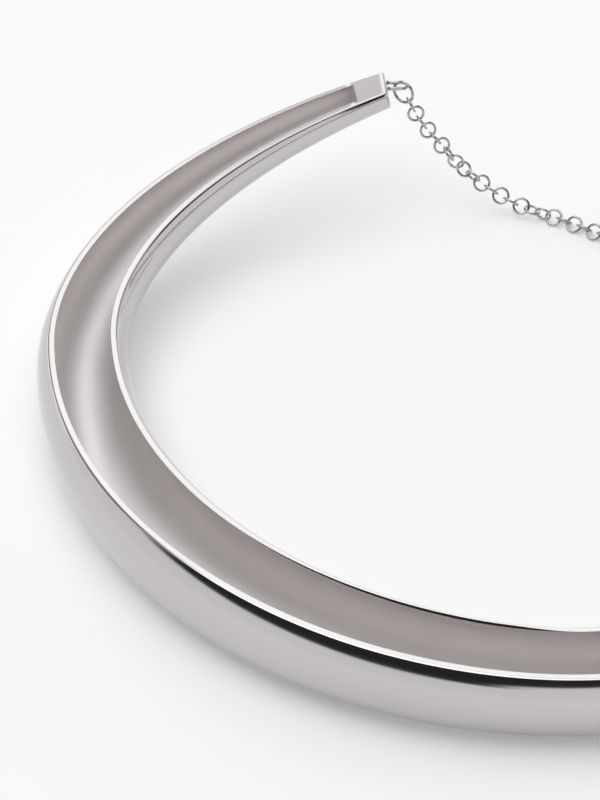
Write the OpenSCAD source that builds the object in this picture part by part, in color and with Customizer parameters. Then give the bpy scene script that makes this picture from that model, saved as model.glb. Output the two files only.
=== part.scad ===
// A rigid neck collar of polished metal: a tube that tapers to both ends and is cut
// open along its whole top. A fine chain closes the gap at the back of the neck.
// The collar lies on a table, +Z up, with the front of the neck towards -Y. Its ends
// rise from the table, and the chain hangs from them and lies on the table between.
// A place along the collar is a number from -1 (the end at -X) through 0 (the middle
// of the front) to 1 (the end at +X).

/* [Collar plan] */
// Half the width of the collar, to the middle of its tube
half_width = 62; // [61:0.1:63]
// How far the front reaches from the widest place
front_depth = 68; // [66:0.5:70]
// How far the back of the same oval would reach
rear_depth = 47.5; // [47:0.1:48]
// Angle round the oval from the middle of the front to each end
end_angle = 162.4; // [161.5:0.1:162.5]
// Height that each end rises above the table
end_rise = 15.8; // [15.5:0.1:16.5]
// Share of the way from the front to an end where the rise starts
rise_start = 0.5; // [0.45:0.01:0.55]
// Power of the rise's curve
rise_power = 1.5; // [1.4:0.05:1.8]

/* [Collar tube] */
// Outer radius of the tube at the middle of the front
front_radius = 6.4; // [6:0.05:7.2]
// Outer radius a third of the way to an end
third_radius = 7.2; // [6.6:0.05:7.6]
// Outer radius two thirds of the way to an end
two_thirds_radius = 5.4; // [5:0.05:5.8]
// Outer radius at an end
end_radius = 2.6; // [2.5:0.05:2.8]
// Height of the opening's edge at the front, as an angle above the tube's middle
front_lip_angle = 42.5; // [38:0.5:46]
// The same angle a little past the widest place
side_lip_angle = 41; // [37:0.5:44]
// The same angle at an end
end_lip_angle = 28; // [26:0.5:34]
// Thickness of the metal
wall = 0.62; // [0.5:0.02:0.8]

/* [Collar ends] */
// Length of the solid block that fills each end
block_length = 4.9; // [4:0.1:7]
// Turn of each end face away from square to the tube
end_turn = 12; // [4:1:15]
// Bevel round each end face
end_bevel = 0.3; // [0.2:0.05:0.4]

/* [Wire eyes] */
// Radius of the wire of the eye soldered to each end
eye_wire = 0.25; // [0.22:0.01:0.28]
// How far an eye stands out from its end face
eye_length = 3.1; // [3:0.05:3.2]
// Width of an eye, between the middles of its wires
eye_width = 1.4; // [1.3:0.05:1.5]
// Height of an eye above the middle of its end face
eye_lift = 0.5; // [0.3:0.1:0.7]

/* [Jump rings] */
// Radius of a jump ring, to the middle of its wire
ring_radius = 1.52; // [1.5:0.01:1.6]
// Radius of a jump ring's wire
ring_wire = 0.21; // [0.17:0.01:0.22]

/* [Chain] */
// Radius of a link, to the middle of its wire
link_radius = 1.06; // [1.05:0.005:1.08]
// Radius of a link's wire
link_wire = 0.18; // [0.15:0.005:0.185]
// Distance from one link's middle to the next, before the chain is set to a whole number
link_pitch = 1.61; // [1.59:0.01:1.63]

/* [Clasp] */
// Outer radius of the clasp's ring
clasp_radius = 2.7; // [2.6:0.05:2.8]
// Width of the clasp's ring, from its outside to its hole
clasp_band = 0.76; // [0.7:0.02:0.8]
// Thickness of the clasp
clasp_thickness = 0.76; // [0.7:0.02:0.8]
// Outer radius of the small eye at the clasp's top
clasp_eye_radius = 1.1; // [1:0.05:1.2]
// Radius of the small eye's hole
clasp_eye_hole = 0.57; // [0.55:0.01:0.6]

/* [Hidden] */

// The tube's changes of size and opening even out over this share of an arm, at the front
front_evening = 0.07;
// Segments round the tube's outside, round its inside, and along its channel
outer_steps = 22;
inner_steps = 18;
channel_steps = 60;
// The end face starts to turn this share of the way from the front to an end
turn_start = 0.85;
// Half the short stretch that the tube's direction is measured over
tangent_span = 0.002;
// Length of an eye's wires that is buried in the end block
eye_root = 0.5;
// Clear distance between wires that hook into each other
wire_gap = 0.14;
// The same between the right ring and the hole of the clasp's eye
clasp_gap = 0.2;
// Where the left ring's middle lies from the root of its eye, and its axis
left_ring_offset = [2.28, -1, -0.42];
left_ring_axis = [-0.6, -0.78, 0.1];
// Where the first link's middle lies from the left ring's middle
first_link_offset = [0.98, -0.88, -1.49];
// Lean of the clasp away from plumb, where it hangs from the right ring
clasp_lean = 8.5;
// How far the small eye and the clasp's ring run into each other
clasp_joint = 0.3;
// Roll of the links about the chain's line: every second one the other way
link_roll = 45;
// Twist of the chain that is added to that roll: [number of the link, degrees]
link_twist = [[0, 24], [5, 16], [10, 97], [14, 97], [17, 180]];
// From this link on, the chain turns to lie square to the clasp
turning_link = 28;
// Points that the chain's middle passes, [x, y, z]: the slack curve down from the left
// end, the stretch on the table, and the climb to the clasp
chain_route = [
    [-14.1, 43.1, 14.1],
    [-11.0, 42.8, 9.9],
    [-8.9, 42.3, 7.3],
    [-6.5, 41.5, 5.3],
    [-3.9, 40.7, 3.5],
    [-1.1, 39.8, 2.1],
    [1.8, 38.8, 1.33],
    [4.6, 37.5, 1.03],
    [7.5, 35.6, 0.96],
    [10.3, 33.7, 0.97],
    [13.5, 33.1, 0.98],
    [16.2, 34.6, 0.99],
    [17.2, 37.4, 1.04],
    [16.6, 40.4, 2.03],
    [15.7, 43.1, 4.4],
    [15.0, 44.7, 7.6],
];
// Points of the smooth curve drawn through each stretch of the route
route_steps = 12;
// Segments round a ring or link, round its wire, and round the clasp
ring_segments = 32;
wire_segments = 16;
clasp_segments = 64;

// Geometry helpers

function unit(v) = v / norm(v);

// The product of a list of numbers
function product(v, i = 0) = i < len(v) ? v[i] * product(v, i + 1) : 1;

// The sum of a list of numbers
function total(v, i = 0) = i < len(v) ? v[i] + total(v, i + 1) : 0;

// A smooth curve through the values at the given places
function through(s, places, values) = total([
    for (i = [0 : len(places) - 1])
        values[i] * product([
            for (j = [0 : len(places) - 1])
                if (j != i) (s - places[j]) / (places[i] - places[j])
        ])
]);

// Two triangles that fill the four corners a, b, c, d, given in turn
function two_triangles(a, b, c, d) = [[a, b, c], [a, c, d]];

// The tube's line, direction and section

// The share of the way to an end, levelled at the front so that no crease shows there
function arm_share(u) = sqrt(u * u + front_evening * front_evening * (1 - u * u));

function tube_radius(u) = through(
    arm_share(u), [0, 1/3, 2/3, 1],
    [front_radius, third_radius, two_thirds_radius, end_radius]
);

function lip_angle(u) = through(
    arm_share(u), [0, 0.6, 1], [front_lip_angle, side_lip_angle, end_lip_angle]
);

function underside(u) =
    end_rise * pow(max(0, (abs(u) - rise_start) / (1 - rise_start)), rise_power);

function centre(u) = [
    half_width * sin(end_angle * u),
    -(cos(end_angle * u) > 0 ? front_depth : rear_depth) * cos(end_angle * u),
    underside(u) + tube_radius(u)
];

function along(u) = unit(centre(u + tangent_span) - centre(u - tangent_span));
function outward(u) = unit(cross(along(u), [0, 0, 1]));
function upward(u) = cross(outward(u), along(u));

// How far a section leans over towards its end, to meet the turned end face
function lean(u) =
    sign(u) * tan(end_turn) * min(1, max(0, (abs(u) - turn_start) / (block_place - turn_start)));

// A point of the section at u, at an angle above the horizontal, on a circle of radius r
function section_point(u, angle, r) =
    centre(u)
    + r * cos(angle) * (outward(u) + lean(u) * along(u))
    + r * sin(angle) * upward(u);

// Points round the tube from the outer lip, under the tube, to the inner lip
function arc_points(u, lip, r, steps) = [
    for (i = [0 : steps])
        section_point(u, lip - (180 + 2 * lip) * i / steps, r)
];

// The inside's lips lie at the same height as the outside's
function inner_lip(u) =
    asin(tube_radius(u) * sin(lip_angle(u)) / (tube_radius(u) - wall));

// Length of the collar's line for a whole step of u, near an end
end_speed = norm(centre(1) - centre(1 - tangent_span)) / tangent_span;
block_place = 1 - block_length / end_speed;
bevel_place = 1 - end_bevel / end_speed;

// Places of the sections: bevel and block at each end, the channel between them
channel_places = [
    for (i = [0 : channel_steps]) block_place * (2 * i / channel_steps - 1)
];
end_places = [bevel_place, (bevel_place + block_place) / 2];
places = concat(
    [-1, -end_places[0], -end_places[1]],
    channel_places,
    [end_places[1], end_places[0], 1]
);
first_channel = 3;
last_channel = first_channel + channel_steps;
last_place = len(places) - 1;

function end_cut(u) = abs(u) == 1 ? end_bevel : 0;

outer_points = [
    for (u = places)
        each arc_points(u, lip_angle(u), tube_radius(u) - end_cut(u), outer_steps)
];
inner_points = [
    for (u = channel_places)
        each arc_points(u, inner_lip(u), tube_radius(u) - wall, inner_steps)
];

// Numbers of the points in the collar's mesh
function outer_at(k, i) = k * (outer_steps + 1) + i;
function inner_at(k, j) =
    len(outer_points) + (k - first_channel) * (inner_steps + 1) + j;

outer_skin = [
    for (k = [0 : last_place - 1], i = [0 : outer_steps - 1])
        each two_triangles(outer_at(k, i), outer_at(k + 1, i),
                           outer_at(k + 1, i + 1), outer_at(k, i + 1))
];
inner_skin = [
    for (k = [first_channel : last_channel - 1], j = [0 : inner_steps - 1])
        each two_triangles(inner_at(k, j), inner_at(k, j + 1),
                           inner_at(k + 1, j + 1), inner_at(k + 1, j))
];
lips = [
    for (k = [first_channel : last_channel - 1])
        each concat(
            two_triangles(outer_at(k, 0), inner_at(k, 0),
                          inner_at(k + 1, 0), outer_at(k + 1, 0)),
            two_triangles(outer_at(k, outer_steps), outer_at(k + 1, outer_steps),
                          inner_at(k + 1, inner_steps), inner_at(k, inner_steps)))
];
block_tops = [
    for (k = [0 : last_place - 1])
        if (k < first_channel - 1 || k > last_channel)
            each two_triangles(outer_at(k, 0), outer_at(k, outer_steps),
                               outer_at(k + 1, outer_steps), outer_at(k + 1, 0))
];

// The four points across the tube's top where a block meets the channel
function top_row(k) = [
    outer_at(k, 0), inner_at(k, 0), inner_at(k, inner_steps), outer_at(k, outer_steps)
];

left_row = top_row(first_channel);
right_row = top_row(last_channel);
left_corner = outer_at(first_channel - 1, 0);
right_corner = outer_at(last_channel + 1, 0);
channel_ends = concat(
    [[left_corner, outer_at(first_channel - 1, outer_steps), left_row[3]]],
    [for (i = [3 : -1 : 1]) [left_corner, left_row[i], left_row[i - 1]]],
    [for (i = [0 : 2]) [right_corner, right_row[i], right_row[i + 1]]],
    [[right_corner, right_row[3], outer_at(last_channel + 1, outer_steps)]],
    [[for (j = [inner_steps : -1 : 0]) inner_at(first_channel, j)]],
    [[for (j = [0 : inner_steps]) inner_at(last_channel, j)]],
    [[for (i = [0 : outer_steps]) outer_at(0, i)]],
    [[for (i = [outer_steps : -1 : 0]) outer_at(last_place, i)]]
);

// Places of the eyes, rings and clasp

left_root = centre(-1) + eye_lift * upward(-1);
left_ring = left_root + left_ring_offset;
first_link = left_ring + first_link_offset;

right_root = [-left_root.x, left_root.y, left_root.z];
// The right ring hangs straight down from the round end of its eye
right_ring = right_root
    - [eye_length - eye_wire, 0, ring_radius - ring_wire - eye_wire - wire_gap];
right_ring_axis = [0, 1, 0];

hang = [-sin(clasp_lean), 0, -cos(clasp_lean)];
clasp_eye_middle = right_ring
    + hang * (ring_radius + clasp_eye_hole - ring_wire - clasp_gap);
// Distance from the middle of the small eye to the middle of the clasp's ring
clasp_length = clasp_eye_radius + clasp_radius - clasp_joint;
// The last link goes round the clasp's ring and sags a little below its middle
last_link_sag = 0.2;
last_link = clasp_eye_middle
    + hang * (clasp_length + clasp_radius - clasp_band / 2 + last_link_sag);

// The chain's line

route = concat([first_link], chain_route, [last_link]);
last_stretch = len(route) - 2;

// A point t of the way from point 1 to point 2 of a smooth curve through four points
function smooth(p0, p1, p2, p3, t) =
    (2 * p1 + (p2 - p0) * t + (2 * p0 - 5 * p1 + 4 * p2 - p3) * t * t
     + (3 * p1 - p0 - 3 * p2 + p3) * t * t * t) / 2;

function route_point(i) =
    i < 0 ? 2 * route[0] - route[1]
    : i > last_stretch + 1 ? 2 * route[i - 1] - route[i - 2]
    : route[i];

path = concat(
    [
        for (i = [0 : last_stretch], k = [0 : route_steps - 1])
            smooth(route_point(i - 1), route_point(i), route_point(i + 1),
                   route_point(i + 2), k / route_steps)
    ],
    [last_link]
);
// Length of the path up to each of its points
travel = [
    for (i = 0, s = 0; i < len(path);
         i = i + 1, s = i < len(path) ? s + norm(path[i] - path[i - 1]) : s) s
];
chain_length = travel[len(travel) - 1];
path_tables = [
    for (c = [0 : 2]) [for (i = [0 : len(path) - 1]) [travel[i], path[i][c]]]
];

// The point of the path at length s
function on_path(s) = [for (c = [0 : 2]) lookup(s, path_tables[c])];

link_steps = round(chain_length / link_pitch);
link_spacing = chain_length / link_steps;
// Half the stretch of chain that its direction is measured over
path_span = 0.4;

// Axis of link i: the path's own upright and sideways directions, rolled
function link_axis(i) =
    let (s = i * link_spacing,
         ahead = unit(on_path(s + path_span) - on_path(s - path_span)),
         sideways = unit(cross(ahead, [0, 0, 1])),
         upright = cross(sideways, ahead),
         turned = max(0, i - turning_link) / (link_steps - turning_link),
         roll = (i % 2 == 0 ? -link_roll : link_roll) + link_roll * turned
             + lookup(i, link_twist))
    cos(roll) * upright + sin(roll) * sideways;

// Sub-parts

// The collar's own middle from front to back, which goes to the origin
depths = [for (p = outer_points) p.y];
middle_depth = (max(depths) + min(depths)) / 2;
module in_place() {
    translate([0, -middle_depth, 0]) children();
}

// A closed ring of round wire
module wire_ring(middle, axis, radius, wire) {
    direction = unit(axis);
    translate(middle)
        rotate([0, acos(direction.z), atan2(direction.y, direction.x)])
            rotate_extrude($fn = ring_segments)
                translate([radius, 0]) circle(wire, $fn = wire_segments);
}

// A flat loop of wire that stands out from the left end face along +X
module wire_eye() {
    straight = eye_length - eye_wire - eye_width / 2;
    translate(left_root) {
        for (side = [-1, 1])
            translate([-eye_root, side * eye_width / 2, 0])
                rotate([0, 90, 0])
                    cylinder(h = eye_root + straight, r = eye_wire, $fn = wire_segments);
        translate([straight, 0, 0])
            rotate([0, 0, -90])
                rotate_extrude(angle = 180, $fn = ring_segments)
                    translate([eye_width / 2, 0]) circle(eye_wire, $fn = wire_segments);
    }
}

module collar() {
    color("silver") in_place() {
        polyhedron(
            points = concat(outer_points, inner_points),
            faces = concat(outer_skin, inner_skin, lips, block_tops, channel_ends)
        );
        wire_eye();
        mirror([1, 0, 0]) wire_eye();
    }
}

module jump_ring_left() {
    color("gainsboro") in_place()
        wire_ring(left_ring, left_ring_axis, ring_radius, ring_wire);
}

module jump_ring_right() {
    color("gainsboro") in_place()
        wire_ring(right_ring, right_ring_axis, ring_radius, ring_wire);
}

module chain() {
    color("lightgray") in_place()
        for (i = [0 : link_steps])
            wire_ring(on_path(i * link_spacing), link_axis(i), link_radius, link_wire);
}

// The clasp laid flat, with its small eye at the origin and its ring towards -Y
module clasp_outline() {
    difference() {
        union() {
            circle(clasp_eye_radius, $fn = clasp_segments);
            translate([0, -clasp_length]) circle(clasp_radius, $fn = clasp_segments);
        }
        circle(clasp_eye_hole, $fn = clasp_segments);
        translate([0, -clasp_length])
            circle(clasp_radius - clasp_band, $fn = clasp_segments);
    }
}

module clasp() {
    color("darkgray") in_place()
        translate(clasp_eye_middle)
            rotate([0, clasp_lean, 0])
                rotate([90, 0, 90])
                    linear_extrude(clasp_thickness, center = true) clasp_outline();
}

collar();
jump_ring_left();
jump_ring_right();
chain();
clasp();
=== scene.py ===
"""Looks of a polished metal neck collar with a fine chain, built around its packed frame.

The collar is a tube that tapers to both ends and is cut open along its whole top. A place
along it is a number from -1 (the end at -X) through 0 (the middle of the front) to 1.
"""

import math
import random
from collections import namedtuple

import bmesh
import bpy
from bpy.props import FloatProperty, FloatVectorProperty, IntProperty, PointerProperty
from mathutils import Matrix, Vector


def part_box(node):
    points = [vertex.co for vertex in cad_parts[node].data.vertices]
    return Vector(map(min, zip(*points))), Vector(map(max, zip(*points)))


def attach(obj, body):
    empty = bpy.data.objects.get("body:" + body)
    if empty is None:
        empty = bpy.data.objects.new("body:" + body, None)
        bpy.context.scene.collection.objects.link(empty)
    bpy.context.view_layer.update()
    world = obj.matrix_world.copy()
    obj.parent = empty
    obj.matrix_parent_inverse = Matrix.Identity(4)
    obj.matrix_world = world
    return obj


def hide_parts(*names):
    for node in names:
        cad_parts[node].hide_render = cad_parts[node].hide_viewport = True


bl_info = {
    "name": "Collar necklace",
    "version": (1, 0, 0),
    "blender": (4, 5, 0),
    "location": "View3D > Sidebar > Necklace",
    "description": "Builds a polished collar with a fine chain, lying on a pale table",
    "category": "Add Mesh",
}

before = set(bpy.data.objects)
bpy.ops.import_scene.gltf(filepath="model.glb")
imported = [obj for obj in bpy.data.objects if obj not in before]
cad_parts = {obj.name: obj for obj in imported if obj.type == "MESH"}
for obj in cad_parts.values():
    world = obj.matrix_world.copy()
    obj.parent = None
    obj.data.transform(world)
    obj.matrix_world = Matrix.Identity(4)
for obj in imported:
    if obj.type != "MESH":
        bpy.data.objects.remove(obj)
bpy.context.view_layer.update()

MM = 0.001
BODY = "root"
UP = Vector((0, 0, 1))
# Half the stretch that the collar's direction is measured over, as a share of an arm
TANGENT_SPAN = 0.002


# Properties

def length(name, description, millimetres):
    """A length property whose default is given in millimetres."""
    return FloatProperty(name=name, description=description, default=millimetres * MM,
                         unit="LENGTH", precision=5)


def angle(name, description, degrees):
    """An angle property whose default is given in degrees."""
    return FloatProperty(name=name, description=description, default=math.radians(degrees),
                         subtype="ANGLE")


def place(name, description, millimetres):
    """A point or offset whose default is given in millimetres."""
    return FloatVectorProperty(name=name, description=description, size=3,
                               default=[value * MM for value in millimetres],
                               subtype="TRANSLATION", unit="LENGTH")


def share(name, description, value):
    """A plain share from 0 to 1."""
    return FloatProperty(name=name, description=description, default=value,
                         min=0, max=1, subtype="FACTOR")


def number(name, description, value):
    """A plain number."""
    return FloatProperty(name=name, description=description, default=value)


def count(name, description, value):
    """A whole number of pieces, points or segments."""
    return IntProperty(name=name, description=description, default=value, min=1)


def colour(name, description, red, green, blue):
    """A colour, as linear red, green and blue."""
    return FloatVectorProperty(name=name, description=description, size=3,
                               default=(red, green, blue), min=0, max=1, subtype="COLOR")


class CollarSizes(bpy.types.PropertyGroup):
    """Sizes of the collar's plan, tube, rims and end blocks."""

    half_width: length("Half width", "Half the collar's width, to the middle of its tube", 62)
    front_depth: length("Front depth", "Reach of the front from the widest place", 68)
    rear_depth: length("Rear depth", "Reach that the back of the oval would have", 47.5)
    end_angle: angle("End angle", "Angle round the oval from the front to each end", 162.4)
    end_rise: length("End rise", "Height that each end rises above the table", 15.8)
    rise_start: share("Rise start", "Share of an arm where the rise starts", 0.5)
    rise_power: number("Rise power", "Power of the rise's curve", 1.5)
    front_evening: share("Front evening", "Share of an arm that levels out at the front", 0.07)
    front_radius: length("Front radius", "Tube radius at the middle of the front", 6.4)
    third_radius: length("Third radius", "Tube radius a third of the way to an end", 7.2)
    two_thirds_radius: length("Two thirds radius", "Tube radius two thirds of the way", 5.4)
    end_radius: length("End radius", "Tube radius at an end", 2.6)
    front_lip: angle("Front rim angle", "Height of the rims at the front, as an angle", 42.5)
    side_lip: angle("Side rim angle", "The same past the widest place", 41)
    end_lip: angle("End rim angle", "The same at an end", 28)
    wall: length("Wall", "Thickness of the metal", 0.62)
    rim_round: length("Rim rounding", "Run of the rounding of each rim's outer edge", 0.2)
    bevel: length("Bevel", "Height of the bevel inside the neck side's rim", 0.34)
    bevel_tilt: angle("Bevel tilt", "Tilt of that bevel away from upright", 37)
    bevel_round: length("Bevel rounding", "Run of the rounding of a bevel's edges", 0.04)
    block_length: length("Block length", "Length of the solid block that fills an end", 4.9)
    block_round: length("Block rounding", "Rounding of a block's edge above the channel", 0.1)
    end_turn: angle("End turn", "Turn of each end face away from square", 12)
    turn_start: share("Turn start", "Share of an arm where that turn starts", 0.85)
    end_round: length("End rounding", "Rounding round each end face", 0.28)
    stations: count("Stations", "Sections along the channel", 380)
    outer_steps: count("Outer steps", "Segments round the outside of the tube", 88)
    inner_steps: count("Inner steps", "Segments round the channel", 56)


class FittingSizes(bpy.types.PropertyGroup):
    """Sizes of the wire eyes, jump rings and clasp."""

    eye_wire: length("Eye wire", "Radius of the wire of each soldered eye", 0.25)
    eye_length: length("Eye length", "How far an eye stands out from its end face", 3.1)
    eye_width: length("Eye width", "Width of an eye, between the middles of its wires", 1.4)
    eye_lift: length("Eye lift", "Height of an eye above the middle of its end face", 0.5)
    eye_root: length("Eye root", "Length of an eye's wires inside the end block", 0.5)
    eye_solder: length("Eye solder", "Swell of the solder where an eye meets its block", 0.12)
    ring_radius: length("Ring radius", "Jump ring radius, to the middle of its wire", 1.52)
    ring_wire: length("Ring wire", "Radius of a jump ring's wire", 0.21)
    ring_cut: length("Ring cut", "Width of the cut where a jump ring closes", 0.03)
    ring_segments: count("Ring segments", "Segments round a jump ring", 64)
    wire_gap: length("Wire gap", "Clear distance between wires that hook together", 0.14)
    left_ring_offset: place("Left ring offset", "From the left eye's root to its ring",
                            (2.28, -1, -0.42))
    left_ring_axis: FloatVectorProperty(name="Left ring axis", size=3,
                                        description="Axis of the left jump ring",
                                        default=(-0.6, -0.78, 0.1), subtype="DIRECTION")
    clasp_radius: length("Clasp radius", "Outer radius of the clasp's ring", 2.7)
    clasp_band: length("Clasp band", "Thickness of the clasp's round wire", 0.76)
    clasp_eye_radius: length("Clasp eye radius", "Outer radius of the clasp's small eye", 1.1)
    clasp_eye_hole: length("Clasp eye hole", "Radius of the small eye's hole", 0.57)
    clasp_gap: length("Clasp gap", "Clear distance between the right ring and that hole", 0.2)
    clasp_joint: length("Clasp joint", "How far the eye and the clasp's ring run together", 0.3)
    clasp_lean: angle("Clasp lean", "Lean of the clasp away from plumb", 8.5)
    clasp_groove: length("Clasp groove", "Depth of the seams round the clasp's wire", 0.03)
    clasp_segments: count("Clasp segments", "Segments round the clasp's ring", 96)


class ChainSizes(bpy.types.PropertyGroup):
    """Sizes of the chain's links and of the way that they lie."""

    link_radius: length("Link radius", "Link radius, to the middle of its wire", 1.06)
    link_wire: length("Link wire", "Radius of a link's wire", 0.18)
    link_pitch: length("Link pitch", "Wanted distance from one link to the next", 1.61)
    link_roll: angle("Link roll", "Roll of the links about the chain's line", 45)
    turning_link: count("Turning link", "Link where the chain starts to turn to the clasp", 28)
    link_seam: length("Link seam", "Swell of the solder that closes a link", 0.012)
    first_link_offset: place("First link offset", "From the left ring to the first link",
                             (0.98, -0.88, -1.49))
    last_link_sag: length("Last link sag", "Sag of the last link below the clasp's wire", 0.2)
    link_segments: count("Link segments", "Segments round a link", 44)


class FinishLook(bpy.types.PropertyGroup):
    """Colours and polish of the metal."""

    silver: colour("Silver", "Colour of the polished outside and rims", 0.58, 0.557, 0.557)
    satin_silver: colour("Satin silver", "Colour of the satin channel", 0.82, 0.792, 0.786)
    chain_silver: colour("Chain silver", "Colour of the chain's metal", 0.5, 0.475, 0.468)
    polish: share("Polish", "Roughness of the polished outside and rims", 0.12)
    satin: share("Satin", "Roughness of the satin channel", 0.5)
    chain_polish: share("Chain polish", "Roughness of the chain and its fittings", 0.16)


class StageLook(bpy.types.PropertyGroup):
    """The pale table, the studio round it and the camera."""

    table: colour("Table", "Colour of the table", 0.86, 0.86, 0.86)
    table_glow: number("Table glow", "Light that shines through the table", 0.2)
    table_radius: length("Table radius", "How far the table reaches", 4000)
    walls: number("Walls", "Brightness of the studio's pale lower walls", 0.9)
    room: number("Room", "Brightness of the dark room above the walls", 0.02)
    overhead: number("Overhead", "Brightness of the softbox overhead", 1.62)
    overhead_tilt: number("Overhead tilt", "How much its front outshines its back", 0.55)
    overhead_lean: number("Overhead lean", "How much its left outshines its right", 1.5)
    softbox: number("Softbox", "Brightness of the softbox behind", 1.6)
    shaded: number("Shaded wall", "Brightness of the shaded wall behind on the left", 0.3)
    plain: number("Plain wall", "Brightness of the plain wall behind on the right", 0.45)
    low: number("Low wall", "Brightness of the low wall behind", 1.4)
    wall_top: angle("Wall top", "Height of the pale walls, as an angle", 19.5)
    ceiling: angle("Ceiling", "Angle above which the overhead softbox fills the sky", 52)
    softbox_low: angle("Softbox low edge", "Height where all that is behind starts", 18)
    edge: angle("Edge", "Half the height that a wall's edge fades over", 1.5)
    camera_aim: place("Camera aim", "Point that the camera looks at, from the collar's oval",
                      (-33.14, -0.02, 0))
    camera_distance: length("Camera distance", "From the camera to that point", 900)
    camera_height: angle("Camera height", "Angle of the camera above the table", 38)
    camera_side: angle("Camera side", "Turn of the camera to the left of the front", 3)
    camera_focus: number("Camera focus", "Focal length over the width of the picture", 11.2072)


# Shader maths

# Hairlines in a metre along X, Y and Z
HAIRLINES = (90, 90, 700)


class Signal:
    """A socket of a node tree that ordinary arithmetic can be done with."""

    def __init__(self, tree, socket):
        self.tree = tree
        self.socket = socket

    def __add__(self, other):
        return self.tree.maths("ADD", self, other)

    def __sub__(self, other):
        return self.tree.maths("SUBTRACT", self, other)

    def __rsub__(self, other):
        return self.tree.maths("SUBTRACT", other, self)

    def __mul__(self, other):
        return self.tree.maths("MULTIPLY", self, other)

    def __truediv__(self, other):
        return self.tree.maths("DIVIDE", self, other)

    __radd__ = __add__
    __rmul__ = __mul__


class NodeTree:
    """The node tree of one material or of the studio, emptied and built up by node()."""

    def __init__(self, owner):
        self.owner = owner
        owner.use_nodes = True
        self.nodes = owner.node_tree.nodes
        self.links = owner.node_tree.links
        self.nodes.clear()

    def node(self, kind, settings=None, inputs=None, output=0):
        """Adds a node: its settings first, then values or signals for its sockets."""
        made = self.nodes.new(kind)
        for key, value in (settings or {}).items():
            setattr(made, key, value)
        for key, value in (inputs or {}).items():
            if isinstance(value, Signal):
                self.links.new(value.socket, made.inputs[key])
            else:
                made.inputs[key].default_value = value
        return Signal(self, made.outputs[output]) if made.outputs else None

    def maths(self, operation, first, second=0.0):
        """One sum on plain values."""
        return self.node("ShaderNodeMath", {"operation": operation}, {0: first, 1: second})

    def between(self, value, low, high):
        """0 below low, 1 above high, and smooth between; low may be the higher one."""
        return self.node("ShaderNodeMapRange", {"interpolation_type": "SMOOTHSTEP"},
                         {"Value": value, "From Min": low, "From Max": high})

    def noise(self, scale, detail, rough=0.5, stretch=(1, 1, 1)):
        """Random clouds from 0 to 1 over an object, with about scale of them in a metre."""
        where = self.node("ShaderNodeVectorMath", {"operation": "MULTIPLY"},
                          {0: self.node("ShaderNodeTexCoord", output=3), 1: stretch})
        return self.node("ShaderNodeTexNoise", {"noise_dimensions": "3D"},
                         {"Vector": where, "Scale": scale, "Detail": detail,
                          "Roughness": rough})

    def clouded(self, tone, darkest, lightest, scale, detail=3):
        """A colour that varies in clouds between two shares of a tone."""
        return self.node("ShaderNodeMix", {"data_type": "RGBA"},
                         {0: self.noise(scale, detail), 6: rgba(tone, darkest),
                          7: rgba(tone, lightest)}, output=2)

    def uneven(self, level, least, spread, hairlines=0, **grain):
        """A level that varies upward from a share of itself, maybe with hairlines too."""
        varied = least + spread * self.noise(**grain)
        if hairlines:
            varied = varied + hairlines * self.noise(scale=1, detail=2, stretch=HAIRLINES)
        return level * varied

    def bumpy(self, depth, strength, **grain):
        """A normal with fine bumps of a depth."""
        return self.node("ShaderNodeBump", {}, {"Height": self.noise(**grain),
                                                "Distance": depth, "Strength": strength})

    def surface(self, inputs):
        """Ends the tree in a surface with these inputs, and returns its material."""
        shader = self.node("ShaderNodeBsdfPrincipled", {}, inputs)
        self.node("ShaderNodeOutputMaterial", {}, {"Surface": shader})
        return self.owner

    def metal(self, base_colour, roughness, normal):
        """Ends the tree in a bare metal, and returns its material."""
        return self.surface({"Base Color": base_colour, "Metallic": 1.0,
                             "Roughness": roughness, "Normal": normal})


def rgba(three, factor=1.0):
    """A colour socket's value from three numbers."""
    return [value * factor for value in three] + [1.0]


def polished_metal(look):
    """The collar's outside, rims and blocks: hand polished, with faint hairlines."""
    tree = NodeTree(bpy.data.materials.new("polished_metal"))
    return tree.metal(
        tree.clouded(look.silver, darkest=0.975, lightest=1.025, scale=60),
        tree.uneven(look.polish, least=0.75, spread=0.3, hairlines=0.2, scale=130, detail=4,
                    rough=0.6),
        tree.bumpy(0.01 * MM, strength=0.5, scale=95, detail=1))


def satin_metal(look):
    """The channel's inside: an even satin grain."""
    tree = NodeTree(bpy.data.materials.new("satin_metal"))
    return tree.metal(
        tree.clouded(look.satin_silver, darkest=0.96, lightest=1.03, scale=75),
        tree.uneven(look.satin, least=0.88, spread=0.24, scale=200, detail=4, rough=0.6),
        tree.bumpy(0.012 * MM, strength=0.5, scale=5200, detail=3, rough=0.6))


def chain_metal(look):
    """The chain, rings and clasp: tumbled wire, slightly darker than the collar."""
    tree = NodeTree(bpy.data.materials.new("chain_metal"))
    return tree.metal(
        tree.clouded(look.chain_silver, darkest=0.9, lightest=1.06, scale=700),
        tree.uneven(look.chain_polish, least=0.7, spread=0.6, scale=1500, detail=3),
        tree.bumpy(0.012 * MM, strength=0.6, scale=1400, detail=2))


# Meshes

# Finish numbers of faces: the places of the collar's materials in their list. Every other
# piece has one material, which has number 0
POLISHED, SATIN, WIRE = range(3)
# Segments round every wire but the clasp's small eye
WIRE_SIDES = 14


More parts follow.
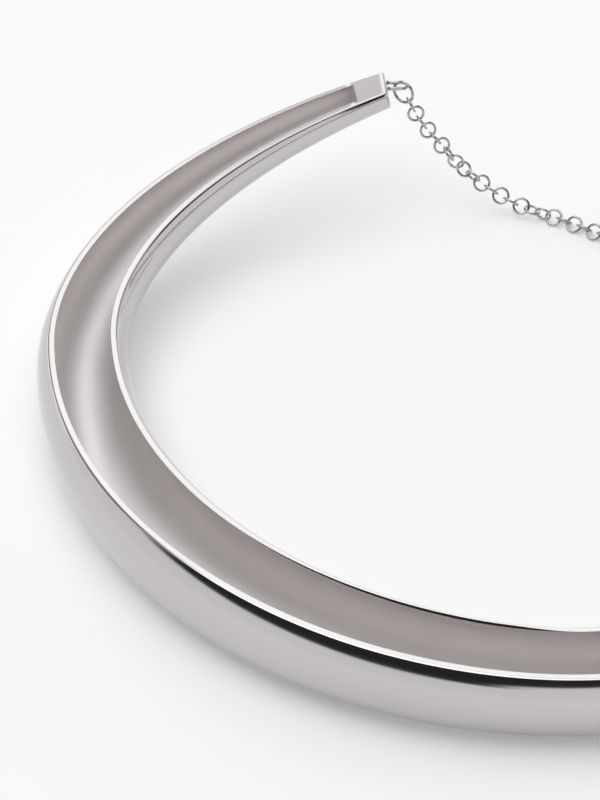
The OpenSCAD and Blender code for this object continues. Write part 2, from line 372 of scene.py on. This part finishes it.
class Shape:
    """Points and faces of a piece while it is made; each face has a finish number."""

    def __init__(self):
        self.points = []
        self.faces = []
        self.finishes = []

    def add_points(self, points):
        """Adds points and returns their numbers."""
        first = len(self.points)
        self.points.extend(points)
        return list(range(first, len(self.points)))

    def add_face(self, corners, finish=0):
        self.faces.append(corners)
        self.finishes.append(finish)

    def join(self, here, there, finishes=None):
        """Joins two closed rings of points with quads."""
        for i, finish in enumerate(finishes or [0] * len(here)):
            after = (i + 1) % len(here)
            self.add_face((here[i], here[after], there[after], there[i]), finish)

    def cap(self, ring, middle, finish=0):
        """Closes a ring of points with triangles to a middle point."""
        hub = self.add_points([middle])[0]
        for here, after in zip(ring, ring[1:] + ring[:1]):
            self.add_face((here, after, hub), finish)

    def tube(self, stations, closed, finish=0, segments=WIRE_SIDES):
        """Sweeps round wire along stations: a middle, two directions across, a radius."""
        finishes = [finish] * segments
        rings = [self.add_points(around(*station, segments)) for station in stations]
        for here, there in zip(rings, rings[1:]):
            self.join(here, there, finishes)
        if closed:
            self.join(rings[-1], rings[0], finishes)
        else:
            for end in (0, -1):
                self.cap(rings[end], stations[end][0], finish)

    def build(self, name, materials, sharp_degrees=38):
        """Makes the piece's object, with its faces turned outward and smooth."""
        mesh = bpy.data.meshes.new(name)
        mesh.from_pydata([point[:] for point in self.points], [], self.faces)
        for material in materials:
            mesh.materials.append(material)
        mesh.polygons.foreach_set("material_index", self.finishes)
        work = bmesh.new()
        work.from_mesh(mesh)
        bmesh.ops.recalc_face_normals(work, faces=work.faces[:])
        work.to_mesh(mesh)
        work.free()
        mesh.shade_smooth()
        mesh.set_sharp_from_angle(angle=math.radians(sharp_degrees))
        piece = bpy.data.objects.new(name, mesh)
        bpy.context.scene.collection.objects.link(piece)
        return piece


def around(middle, first, second, radius, segments):
    """Points of a circle, from its middle and two directions across."""
    turn = 2 * math.pi / segments
    return [middle + radius * (math.cos(i * turn) * first + math.sin(i * turn) * second)
            for i in range(segments)]


def across(axis):
    """Two directions square to an axis and to each other."""
    helper = Vector((1, 0, 0)) if abs(axis.x) < 0.7 else Vector((0, 1, 0))
    first = axis.cross(helper).normalized()
    return first, axis.cross(first)


def curve_through(x, places, values):
    """The smooth curve through the values at the given places."""
    result = 0
    for i, value in enumerate(values):
        for j, other in enumerate(places):
            if j != i:
                value *= (x - other) / (places[i] - other)
        result += value
    return result


def clamp(value, low=0.0, high=1.0):
    return max(low, min(high, value))


def eased(value, start, full):
    """0 at start, 1 at full, and smooth between; start may be the higher one."""
    t = clamp((value - start) / (full - start))
    return t * t * (3 - 2 * t)


def rounded(before, corner, after, steps=5):
    """Points of a corner rounded off between the points before and after it."""
    points = []
    for i in range(steps + 1):
        t = i / steps
        points.append([
            (1 - t) * (1 - t) * a + 2 * t * (1 - t) * b + t * t * c
            for a, b, c in zip(before, corner, after)
        ])
    return points


# The collar

class CollarLine:
    """The line, direction and section sizes of the collar's tube."""

    def __init__(self, sizes):
        self.sizes = sizes
        self.end_speed = (self.centre(1) - self.centre(1 - TANGENT_SPAN)).length / TANGENT_SPAN
        self.block_place = 1 - sizes.block_length / self.end_speed

    def arm_share(self, u):
        """The share of an arm that the sizes at u go by, which levels out at the front."""
        evening = self.sizes.front_evening
        return math.sqrt(u * u + evening * evening * (1 - u * u))

    def radius(self, u):
        """Radius of the tube."""
        s = self.sizes
        return curve_through(self.arm_share(u), (0, 1 / 3, 2 / 3, 1),
                             (s.front_radius, s.third_radius, s.two_thirds_radius,
                              s.end_radius))

    def lip(self, u):
        """Height of the rims, as an angle above the outward direction."""
        s = self.sizes
        return curve_through(self.arm_share(u), (0, 0.6, 1),
                             (s.front_lip, s.side_lip, s.end_lip))

    def centre(self, u):
        """Middle of the tube."""
        s = self.sizes
        turn = s.end_angle * u
        depth = s.front_depth if math.cos(turn) > 0 else s.rear_depth
        risen = max(0.0, (abs(u) - s.rise_start) / (1 - s.rise_start))
        underside = s.end_rise * risen ** s.rise_power
        return Vector((s.half_width * math.sin(turn), -depth * math.cos(turn),
                       underside + self.radius(u)))

    def directions(self, u):
        """Along the tube, outward from the neck, and up."""
        along = (self.centre(u + TANGENT_SPAN) - self.centre(u - TANGENT_SPAN)).normalized()
        outward = along.cross(UP).normalized()
        return along, outward, outward.cross(along)

    def lean(self, u):
        """How far a section leans over towards its end, to meet the turned end face."""
        s = self.sizes
        share_of_turn = clamp((abs(u) - s.turn_start) / (self.block_place - s.turn_start))
        return math.copysign(math.tan(s.end_turn) * share_of_turn, u)

    def section(self, u, profile):
        """Places a flat profile of outward and upward distances at u."""
        along, outward, upward = self.directions(u)
        middle = self.centre(u)
        sideways = outward + self.lean(u) * along
        return [middle + p * sideways + q * upward for p, q in profile]

    def end_root(self, side, lift):
        """The root of the wire eye on the end at this side, -1 or 1."""
        left = self.centre(-1) + lift * self.directions(-1)[2]
        return Vector((-side * left.x, left.y, left.z))


def frame_shift(line, fittings):
    """The place in the frame of the middle of the collar's oval.

    The right jump ring hangs in line with its eye, so its node's box gives the shift.
    """
    low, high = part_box("jump_ring_right")
    root = line.end_root(1, fittings.eye_lift)
    return Vector((0, (low.y + high.y) / 2 - root.y, 0))


def on_circle(radius, turn):
    """A point of a profile on the circle round the tube's middle, at an angle upward."""
    return radius * math.cos(turn), radius * math.sin(turn)


def arc(radius, first, last, steps):
    """Points of a profile on that circle, between two angles."""
    return [on_circle(radius, first + (last - first) * i / steps) for i in range(steps + 1)]


def mirrored(points):
    """The same profile points on the neck side, in the opposite order."""
    return [(-p, q) for p, q in reversed(points)]


# Shares of an arm between which the neck side's bevel grows from the front and runs out, the
# share of it that is left there, and the outer rim's bevel as a share of it
BEVEL_GROWS = (0.005, 0.065)
BEVEL_RUNS_OUT = (0.37, 0.1)
LEAST_BEVEL = 0.08
OUTER_BEVEL = 0.1


def bevel_share(u):
    """How much of the neck side's bevel is there at u."""
    full = eased(abs(u), *BEVEL_GROWS) * eased(abs(u), *BEVEL_RUNS_OUT)
    return LEAST_BEVEL + (1 - LEAST_BEVEL) * full


# Places of the points on a bevel and across a rim's flat, as shares of their widths
BEVEL_POINTS = (0.1, 0.2, 0.8, 0.9)
FLAT_POINTS = (0.08, 0.5, 0.92)


def bevelled(inside, top, drop, sizes):
    """Points of a rim's bevel up from the channel, and the angle where it starts."""
    low_turn = math.asin((top - drop) / inside)
    start = low_turn - sizes.bevel_round / inside
    low = on_circle(inside, low_turn)
    high = (low[0] + drop * math.tan(sizes.bevel_tilt), top)
    bevel = [[a + (b - a) * t for a, b in zip(low, high)] for t in BEVEL_POINTS]
    points = (rounded(on_circle(inside, start), low, bevel[0], 3) + bevel[1:3]
              + rounded(bevel[3], high, (high[0] + sizes.bevel_round, top), 3))
    return points, start


# The open tube's profile in the order of its points: the outside with both rims' roundings
# and the neck rim's flat, its inner edge, the channel, and the outer rim's edge and flat
Wall = namedtuple("Wall", "outside neck_edge channel outer_edge outer_flat")


def wall_at(line, u):
    """The open tube's profile at u, in parts."""
    s = line.sizes
    radius = line.radius(u)
    inside = radius - s.wall
    corner = on_circle(radius, line.lip(u))
    top = corner[1]
    start = line.lip(u) - s.rim_round / radius
    end = -math.pi - start
    fillet = rounded((corner[0] - s.rim_round, top), corner, on_circle(radius, start))
    outer_edge, outer_turn = bevelled(inside, top, OUTER_BEVEL * s.bevel, s)
    neck_edge, neck_turn = bevelled(inside, top, bevel_share(u) * s.bevel, s)

    def flat(edge):
        first, last = edge[-1][0], fillet[0][0]
        return [(first + (last - first) * t, top) for t in FLAT_POINTS]

    # One point close to each rounding keeps the shading of the outside clear of it
    close = s.bevel_round / radius
    under = arc(radius, start, end, s.outer_steps)[1:-1]
    outside = [on_circle(radius, start - close), *under, on_circle(radius, end + close)]
    channel = arc(inside, -math.pi - neck_turn, outer_turn, s.inner_steps)[1:-1]
    return Wall(fillet + outside + mirrored(flat(neck_edge) + fillet), mirrored(neck_edge),
                channel, outer_edge, flat(outer_edge))


def profile_at(line, u, lowered=None):
    """The profile at u: open, or with lowered, filled by a block with its top so lowered."""
    wall = wall_at(line, u)
    inner = wall.neck_edge + wall.channel + wall.outer_edge
    if lowered is not None:
        (first, top), (last, _) = inner[0], inner[-1]
        width = (last - first) / (len(inner) - 1)
        inner = [(first + width * i, top - lowered) for i in range(len(inner))]
    return wall.outside + inner + wall.outer_flat


def profile_finishes(line):
    """The finishes of the faces round the open tube: satin in the channel."""
    wall = wall_at(line, 0)
    before = len(wall.outside + wall.neck_edge) - 1
    after = len(wall.outer_edge + wall.outer_flat)
    return [POLISHED] * before + [SATIN] * (len(wall.channel) + 1) + [POLISHED] * after


def quarter(steps):
    """Pairs of 1 - cosine and 1 - sine round a quarter turn."""
    turns = [math.pi / 2 * i / steps for i in range(steps + 1)]
    return [(1 - math.cos(turn), 1 - math.sin(turn)) for turn in turns]


def shrunk(profile, middle, factor):
    """A profile made smaller towards a point on its middle line."""
    return [(p * factor, middle + (q - middle) * factor) for p, q in profile]


# Steps of a block's edge, along the block, and of the rounding of its end face
BLOCK_STEPS = (4, 7, 6)
# Sizes of the rings of points on an end face, as shares of its flat
FACE_RINGS = (0.97, 0.6, 0.25)


def end_sections(line):
    """Profiles of one end from the channel's end wall to the middle of the end face."""
    s = line.sizes
    edge_steps, block_steps, face_steps = BLOCK_STEPS
    sections = []
    for forward, lowered in quarter(edge_steps):
        u = line.block_place + forward * s.block_round / line.end_speed
        sections.append((u, profile_at(line, u, lowered * s.block_round)))
    first = sections[-1][0]
    last = 1 - s.end_round / line.end_speed
    for i in range(1, block_steps):
        u = first + (last - first) * i / block_steps
        sections.append((u, profile_at(line, u, 0)))
    middle = (line.radius(1) * math.sin(line.lip(1)) - line.radius(1)) / 2
    half = line.radius(1) + middle
    for inset, back in quarter(face_steps):
        u = 1 - back * s.end_round / line.end_speed
        sections.append((u, shrunk(profile_at(line, u, 0), middle,
                                   1 - inset * s.end_round / half)))
    flat = 1 - s.end_round / half
    for factor in FACE_RINGS:
        sections.append((1, shrunk(profile_at(line, 1, 0), middle, flat * factor)))
    return sections, middle


def add_collar_tube(shape, line, shift):
    """The open tube with its end blocks, as one closed skin."""
    ends, hub_height = end_sections(line)
    steps = line.sizes.stations
    channel = [line.block_place * (2 * i / steps - 1) for i in range(steps + 1)]
    sections = (
        [(-u, profile) for u, profile in reversed(ends)]
        + [(u, profile_at(line, u)) for u in channel]
        + ends
    )
    rings = []
    for u, profile in sections:
        rings.append(shape.add_points([point + shift for point in line.section(u, profile)]))
    finishes = profile_finishes(line)
    for k, (here, there) in enumerate(zip(rings, rings[1:])):
        # The walls that close the channel's ends are satin too
        in_channel = len(ends) - 1 <= k <= len(ends) + steps
        shape.join(here, there, finishes if in_channel else None)
    for side, ring in ((-1, rings[0]), (1, rings[-1])):
        shape.cap(ring, line.section(side, [(0, hub_height)])[0] + shift)


# Steps along each leg of a wire eye, and round its bend
EYE_STEPS = 24
# Reach of the solder along an eye's wire, in wire radii
SOLDER_REACH = 1.2


def add_wire_eye(shape, line, fittings, shift, side):
    """The flat loop of wire soldered to one end block."""
    f = fittings
    inward = Vector((-side, 0, 0))
    width = Vector((0, 1, 0))
    root = line.end_root(side, f.eye_lift) + shift
    half = f.eye_width / 2
    straight = f.eye_length - f.eye_wire - half
    leg = [-f.eye_root + (straight + f.eye_root) * i / EYE_STEPS for i in range(EYE_STEPS)]
    path = [(x * inward - half * width, width) for x in leg]
    for i in range(EYE_STEPS + 1):
        turn = math.pi * i / EYE_STEPS
        radial = math.sin(turn) * inward - math.cos(turn) * width
        path.append((straight * inward + half * radial, -radial))
    path += [(x * inward + half * width, -width) for x in reversed(leg)]
    stations = []
    for offset, sideways in path:
        from_face = offset.dot(inward) / (SOLDER_REACH * f.eye_wire)
        radius = f.eye_wire + f.eye_solder * math.exp(-from_face ** 2)
        stations.append((root + offset, sideways, UP, radius))
    shape.tube(stations, closed=False, finish=WIRE)


# Rings, chain and clasp

# Turns of the jump rings' cuts, in radians, and a cut end's radius as a share of the wire's
LEFT_CUT = 1.4
RIGHT_CUT = 2.6
CUT_EASE = 0.86


def add_wire_ring(shape, middle, axis, radius, wire, segments, seam=0.0, cut=0.0, turn=0.0):
    """A ring of round wire, either closed with a solder seam or left with a fine cut."""
    axis = axis.normalized()
    first, second = across(axis)
    opening = cut / radius
    stations = []
    for i in range(segments + 1 if cut else segments):
        share_round = i / segments
        way = turn + opening / 2 + (2 * math.pi - opening) * share_round
        radial = math.cos(way) * first + math.sin(way) * second
        from_seam = min(share_round, 1 - share_round) * 2 * math.pi * radius
        wire_here = wire + seam * math.exp(-(from_seam / wire) ** 2)
        if cut and i in (0, segments):
            wire_here = wire * CUT_EASE
        stations.append((middle + radius * radial, radial, axis, wire_here))
    shape.tube(stations, closed=not cut)


class FittingPlaces:
    """Places of the jump rings, the chain's first and last link, and the clasp."""

    def __init__(self, line, fittings, chain, shift):
        f = fittings
        self.shift = shift
        left_root = line.end_root(-1, f.eye_lift) + shift
        right_root = line.end_root(1, f.eye_lift) + shift
        self.left_ring = left_root + Vector(f.left_ring_offset)
        self.first_link = self.left_ring + Vector(chain.first_link_offset)
        drop = f.ring_radius - f.ring_wire - f.eye_wire - f.wire_gap
        self.right_ring = right_root - Vector((f.eye_length - f.eye_wire, 0, drop))
        self.hang = Vector((-math.sin(f.clasp_lean), 0, -math.cos(f.clasp_lean)))
        reach = f.ring_radius + f.clasp_eye_hole - f.ring_wire - f.clasp_gap
        self.clasp_eye = self.right_ring + self.hang * reach
        clasp_length = f.clasp_eye_radius + f.clasp_radius - f.clasp_joint
        self.clasp_ring = self.clasp_eye + self.hang * clasp_length
        below = f.clasp_radius - f.clasp_band / 2 + chain.last_link_sag
        self.last_link = self.clasp_ring + self.hang * below


# Points that the chain's middle passes, in millimetres from the middle of the collar's
# oval: the slack curve down from the left end, the stretch on the table, and the climb
CHAIN_ROUTE = [
    (-14.1, 43.1, 14.1),
    (-11.0, 42.8, 9.9),
    (-8.9, 42.3, 7.3),
    (-6.5, 41.5, 5.3),
    (-3.9, 40.7, 3.5),
    (-1.1, 39.8, 2.1),
    (1.8, 38.8, 1.33),
    (4.6, 37.5, 1.03),
    (7.5, 35.6, 0.96),
    (10.3, 33.7, 0.97),
    (13.5, 33.1, 0.98),
    (16.2, 34.6, 0.99),
    (17.2, 37.4, 1.04),
    (16.6, 40.4, 2.03),
    (15.7, 43.1, 4.4),
    (15.0, 44.7, 7.6),
]
ROUTE_STEPS = 12
# Twist of the chain that is added to the links' own roll, as link number and degrees
LINK_TWIST = [(0, 24), (5, 16), (10, 97), (14, 97), (17, 180)]
# Half the stretch of chain that its direction is measured over
PATH_SPAN = 0.4 * MM
# Seed of the links' seams, which lie anywhere round them
SEAM_SEED = 11


def smooth_point(p0, p1, p2, p3, t):
    """A point t of the way from p1 to p2 of a smooth curve through four points."""
    return (2 * p1 + (p2 - p0) * t + (2 * p0 - 5 * p1 + 4 * p2 - p3) * t ** 2
            + (3 * p1 - p0 - 3 * p2 + p3) * t ** 3) / 2


class ChainPath:
    """The smooth line of the chain's middle, by length from its first link."""

    def __init__(self, places):
        route = [places.first_link]
        route += [Vector(point) * MM + places.shift for point in CHAIN_ROUTE]
        route += [places.last_link]
        padded = [2 * route[0] - route[1]] + route + [2 * route[-1] - route[-2]]
        self.points = []
        for i in range(len(route) - 1):
            for k in range(ROUTE_STEPS):
                self.points.append(smooth_point(*padded[i:i + 4], k / ROUTE_STEPS))
        self.points.append(places.last_link)
        self.travel = [0.0]
        for here, there in zip(self.points, self.points[1:]):
            self.travel.append(self.travel[-1] + (there - here).length)
        self.length = self.travel[-1]

    def at(self, s):
        """The point at length s, kept within the path."""
        s = clamp(s, 0, self.length)
        for i in range(1, len(self.travel)):
            if s <= self.travel[i] or i == len(self.travel) - 1:
                part = (s - self.travel[i - 1]) / (self.travel[i] - self.travel[i - 1])
                return self.points[i - 1].lerp(self.points[i], part)

    def sideways_and_upright(self, s):
        """Across the path at length s, level and upright."""
        ahead = (self.at(s + PATH_SPAN) - self.at(s - PATH_SPAN)).normalized()
        sideways = ahead.cross(UP).normalized()
        return sideways, sideways.cross(ahead)


def twist(i):
    """The chain's twist at link i, in radians."""
    for (here, start), (there, end) in zip(LINK_TWIST, LINK_TWIST[1:]):
        if i <= there:
            return math.radians(start + (end - start) * (i - here) / (there - here))
    return math.radians(LINK_TWIST[-1][1])


def add_chain(shape, path, chain):
    """Round links that pass through each other, every second one rolled the other way."""
    draw = random.Random(SEAM_SEED)
    steps = round(path.length / chain.link_pitch)
    spacing = path.length / steps
    for i in range(steps + 1):
        sideways, upright = path.sideways_and_upright(i * spacing)
        turned = max(0, i - chain.turning_link) / (steps - chain.turning_link)
        side = -1 if i % 2 == 0 else 1
        roll = side * chain.link_roll + chain.link_roll * turned + twist(i)
        axis = math.cos(roll) * upright + math.sin(roll) * sideways
        add_wire_ring(shape, path.at(i * spacing), axis, chain.link_radius, chain.link_wire,
                      chain.link_segments, seam=chain.link_seam,
                      turn=draw.uniform(0, 2 * math.pi))


# Places of the seams round the clasp's ring, as shares of it, and their width in segments
CLASP_GROOVES = (0.13, 0.42)
GROOVE_WIDTH = 0.8
# Segments round the clasp's small eye and round its wire, and that wire's share of the
# thickness of the ring's
CLASP_EYE_SEGMENTS = 48
CLASP_EYE_SIDES = 16
CLASP_EYE_SHARE = 0.8


def add_clasp(shape, places, fittings):
    """A plain spring ring: its round wire ring, and the small eye soldered to it."""
    f = fittings
    axis = Vector((math.cos(f.clasp_lean), 0, -math.sin(f.clasp_lean)))
    sideways = axis.cross(places.hang)
    wire = f.clasp_band / 2
    stations = []
    for i in range(f.clasp_segments):
        way = 2 * math.pi * i / f.clasp_segments
        radial = math.cos(way) * sideways - math.sin(way) * places.hang
        offsets = [(i - g * f.clasp_segments) / GROOVE_WIDTH for g in CLASP_GROOVES]
        depth = f.clasp_groove * sum(math.exp(-offset ** 2) for offset in offsets)
        stations.append((places.clasp_ring + (f.clasp_radius - wire) * radial, radial, axis,
                         wire - depth))
    shape.tube(stations, closed=True)
    band = (f.clasp_eye_radius - f.clasp_eye_hole) / 2
    thickness = CLASP_EYE_SHARE * wire / band
    stations = []
    for i in range(CLASP_EYE_SEGMENTS):
        way = 2 * math.pi * i / CLASP_EYE_SEGMENTS
        radial = math.cos(way) * sideways + math.sin(way) * places.hang
        middle = places.clasp_eye + (f.clasp_eye_radius - band) * radial
        stations.append((middle, radial, thickness * axis, band))
    shape.tube(stations, closed=True, segments=CLASP_EYE_SIDES)


# Operators

def current_line(context):
    """The collar's line and its shift into the frame, from the scene's sizes."""
    line = CollarLine(context.scene.necklace_collar)
    return line, frame_shift(line, context.scene.necklace_fittings)


def current_places(context):
    """The places of the rings, links and clasp, from the scene's sizes."""
    line, shift = current_line(context)
    scene = context.scene
    return FittingPlaces(line, scene.necklace_fittings, scene.necklace_chain, shift)


def finish_piece(shape, name, materials, node):
    """Makes a piece with the given materials, which rides on the part and hides its CAD node.
    """
    piece = shape.build(name, materials)
    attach(piece, BODY)
    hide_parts(node)


class NECKLACE_OT_collar(bpy.types.Operator):
    """Builds the collar: the open tube, its end blocks and their wire eyes"""

    bl_idname = "necklace.collar"
    bl_label = "Build collar"

    def execute(self, context):
        line, shift = current_line(context)
        shape = Shape()
        add_collar_tube(shape, line, shift)
        for side in (-1, 1):
            add_wire_eye(shape, line, context.scene.necklace_fittings, shift, side)
        look = context.scene.necklace_finish
        materials = [polished_metal(look), satin_metal(look), chain_metal(look)]
        finish_piece(shape, "collar_polished", materials, "collar")
        return {"FINISHED"}


class NECKLACE_OT_rings(bpy.types.Operator):
    """Builds the two jump rings"""

    bl_idname = "necklace.rings"
    bl_label = "Build jump rings"

    def execute(self, context):
        f = context.scene.necklace_fittings
        places = current_places(context)
        material = chain_metal(context.scene.necklace_finish)
        rings = (
            ("left", places.left_ring, Vector(f.left_ring_axis), LEFT_CUT),
            ("right", places.right_ring, Vector((0, 1, 0)), RIGHT_CUT),
        )
        for side, middle, axis, turn in rings:
            shape = Shape()
            add_wire_ring(shape, middle, axis, f.ring_radius, f.ring_wire, f.ring_segments,
                          cut=f.ring_cut, turn=turn)
            finish_piece(shape, "ring_" + side, [material], "jump_ring_" + side)
        return {"FINISHED"}


class NECKLACE_OT_chain(bpy.types.Operator):
    """Builds the whole chain as one piece of linked rings"""

    bl_idname = "necklace.chain"
    bl_label = "Build chain"

    def execute(self, context):
        scene = context.scene
        shape = Shape()
        add_chain(shape, ChainPath(current_places(context)), scene.necklace_chain)
        material = chain_metal(scene.necklace_finish)
        finish_piece(shape, "chain_links", [material], "chain")
        return {"FINISHED"}


class NECKLACE_OT_clasp(bpy.types.Operator):
    """Builds the clasp on the right jump ring"""

    bl_idname = "necklace.clasp"
    bl_label = "Build clasp"

    def execute(self, context):
        scene = context.scene
        shape = Shape()
        add_clasp(shape, current_places(context), scene.necklace_fittings)
        material = chain_metal(scene.necklace_finish)
        finish_piece(shape, "clasp_ring", [material], "clasp")
        return {"FINISHED"}


def table_material(look):
    """Pale card that hardly shines, lit a little from below."""
    tree = NodeTree(bpy.data.materials.new("table_card"))
    return tree.surface({
        "Base Color": tree.clouded(look.table, 0.995, 1.005, scale=900, detail=2),
        "Roughness": 0.85, "Specular IOR Level": 0.0,
        "Emission Color": rgba((1, 1, 1)), "Emission Strength": look.table_glow,
    })


def add_table(look):
    """A round pale table, level with the underside of the collar."""
    shape = Shape()
    shape.add_face(shape.add_points(around(Vector((0, 0, 0)), Vector((1, 0, 0)),
                                           Vector((0, 1, 0)), look.table_radius,
                                           segments=96)))
    table = shape.build("table", [table_material(look)])


# How nearly a line of sight points at a panel where it starts to show and shows in full
PANEL_NEAR = (0.02, 0.05)


def panel(tree, direction, azimuth, elevation, half_width, half_height, soft):
    """A mask of a flat panel that faces the necklace, in shares of its distance.

    The azimuth is from the front towards +X, and both angles are in degrees. The sides fade
    over soft, and the upper and lower edges over a quarter of that.
    """
    a, e = math.radians(azimuth), math.radians(elevation)
    x, y, z = direction
    across_it = math.cos(a) * x + math.sin(a) * y
    level = math.sin(a) * x - math.cos(a) * y
    up_it = math.cos(e) * z - math.sin(e) * level
    near = math.cos(e) * level + math.sin(e) * z
    front = tree.between(near, *PANEL_NEAR)
    safe = tree.maths("MAXIMUM", near, PANEL_NEAR[0])
    side = tree.maths("ABSOLUTE", across_it / safe)
    high = tree.maths("ABSOLUTE", up_it / safe)
    return (front * tree.between(side, half_width + soft, half_width - soft)
            * tree.between(high, half_height + soft / 4, half_height - soft / 4))


# Where parts of the studio start to show and where they show in full, as shares of a line of
# sight: depth is along Y towards the back, and side is along X towards the right
ROOM_DEPTH = (0.42, 0.1)
SOFTBOX_DEPTH = (0.35, 0.55)
SOFTBOX_SIDE = (-0.155, -0.12)
SHADED_DEPTH = (0.3, 0.4)
SHADED_SIDE = (-0.215, -0.26)
PLAIN_DEPTH = (0.1, 0.35)
PLAIN_SIDE = (0.13, 0.21)
LOW_DEPTH = (0.55, 0.8)


def add_studio(look):
    """Pale low walls, dark above them in front, with softboxes above and behind.

    A pale card hangs in the dark part, and a dark stand is in front on the right. Behind, a
    wall is shaded on the left and plain on the right, over a low wall.
    """
    world = bpy.data.worlds.new("studio")
    bpy.context.scene.world = world
    tree = NodeTree(world)
    split = tree.node("ShaderNodeSeparateXYZ", {}, {0: tree.node("ShaderNodeTexCoord")})
    direction = [Signal(tree, split.socket.node.outputs[i]) for i in range(3)]
    x, y, z = direction
    height = tree.maths("ARCSINE", z)

    def above(angle_up, soft):
        return tree.between(height, angle_up - soft, angle_up + soft)

    card = panel(tree, direction, azimuth=5, elevation=12, half_width=0.27,
                 half_height=0.26, soft=0.1)
    stand = panel(tree, direction, azimuth=26.5, elevation=6, half_width=0.13,
                  half_height=0.3, soft=0.02)
    dark = above(look.wall_top, look.edge) * tree.between(y, *ROOM_DEPTH) * (1 - card)
    overhead = above(look.ceiling, 2 * look.edge)
    slope = 1 - look.overhead_tilt * y - look.overhead_lean * x
    raised = above(look.softbox_low, look.edge)
    wall_behind = raised * (1 - overhead)
    softbox = raised * tree.between(y, *SOFTBOX_DEPTH) * tree.between(x, *SOFTBOX_SIDE)
    shaded = wall_behind * tree.between(y, *SHADED_DEPTH) * tree.between(x, *SHADED_SIDE)
    plain = wall_behind * tree.between(y, *PLAIN_DEPTH) * tree.between(x, *PLAIN_SIDE)
    low = (1 - raised) * tree.between(y, *LOW_DEPTH)
    light = look.walls
    # Each covers the ones before it
    for mask, brightness in ((dark, look.room), (overhead, look.overhead * slope),
                             (softbox, look.softbox), (shaded, look.shaded),
                             (plain, look.plain), (low, look.low), (stand, look.room)):
        light = light * (1 - mask) + brightness * mask
    background = tree.node("ShaderNodeBackground", {}, {"Color": (1, 1, 1, 1),
                                                         "Strength": light})
    tree.node("ShaderNodeOutputWorld", {}, {"Surface": background})


def add_camera(context, look):
    """A long lens from the front left, at the picture's angle."""
    _, shift = current_line(context)
    aim = Vector(look.camera_aim) + shift
    level = math.cos(look.camera_height)
    back = Vector((-math.sin(look.camera_side) * level, -math.cos(look.camera_side) * level,
                   math.sin(look.camera_height)))
    data = bpy.data.cameras.new("camera")
    data.sensor_fit = "HORIZONTAL"
    data.sensor_width = 36.0
    data.lens = data.sensor_width * look.camera_focus
    data.clip_start = 0.01
    data.clip_end = 100.0
    camera = bpy.data.objects.new("camera", data)
    camera.location = aim + back * look.camera_distance
    camera.rotation_euler = (-back).to_track_quat("-Z", "Y").to_euler()
    context.scene.collection.objects.link(camera)
    context.scene.camera = camera


class NECKLACE_OT_stage(bpy.types.Operator):
    """Builds the table, the studio's light and the camera"""

    bl_idname = "necklace.stage"
    bl_label = "Build stage"

    def execute(self, context):
        look = context.scene.necklace_stage
        add_table(look)
        add_studio(look)
        add_camera(context, look)
        context.scene.view_settings.view_transform = "Standard"
        context.scene.view_settings.look = "None"
        return {"FINISHED"}


OPERATORS = (NECKLACE_OT_collar, NECKLACE_OT_rings, NECKLACE_OT_chain, NECKLACE_OT_clasp,
             NECKLACE_OT_stage)
GROUPS = {
    "necklace_collar": CollarSizes,
    "necklace_fittings": FittingSizes,
    "necklace_chain": ChainSizes,
    "necklace_finish": FinishLook,
    "necklace_stage": StageLook,
}


class NECKLACE_PT_panel(bpy.types.Panel):
    """Lists the necklace's building steps and sizes in the 3D view's sidebar"""

    bl_idname = "NECKLACE_PT_panel"
    bl_label = "Necklace"
    bl_space_type = "VIEW_3D"
    bl_region_type = "UI"
    bl_category = "Necklace"

    def draw(self, context):
        for operator in OPERATORS:
            self.layout.operator(operator.bl_idname)
        for name, group in GROUPS.items():
            box = self.layout.box()
            box.label(text=group.__doc__)
            for key in group.__annotations__:
                box.prop(getattr(context.scene, name), key)


def register():
    for group in GROUPS.values():
        bpy.utils.register_class(group)
    for name, group in GROUPS.items():
        setattr(bpy.types.Scene, name, PointerProperty(type=group))
    for operator in OPERATORS:
        bpy.utils.register_class(operator)
    bpy.utils.register_class(NECKLACE_PT_panel)


def unregister():
    bpy.utils.unregister_class(NECKLACE_PT_panel)
    for operator in reversed(OPERATORS):
        bpy.utils.unregister_class(operator)
    for name in GROUPS:
        delattr(bpy.types.Scene, name)
    for group in GROUPS.values():
        bpy.utils.unregister_class(group)


def main():
    register()
    bpy.ops.necklace.stage()
    bpy.ops.necklace.collar()
    bpy.ops.necklace.rings()
    bpy.ops.necklace.chain()
    bpy.ops.necklace.clasp()


if __name__ == "__main__":
    main()
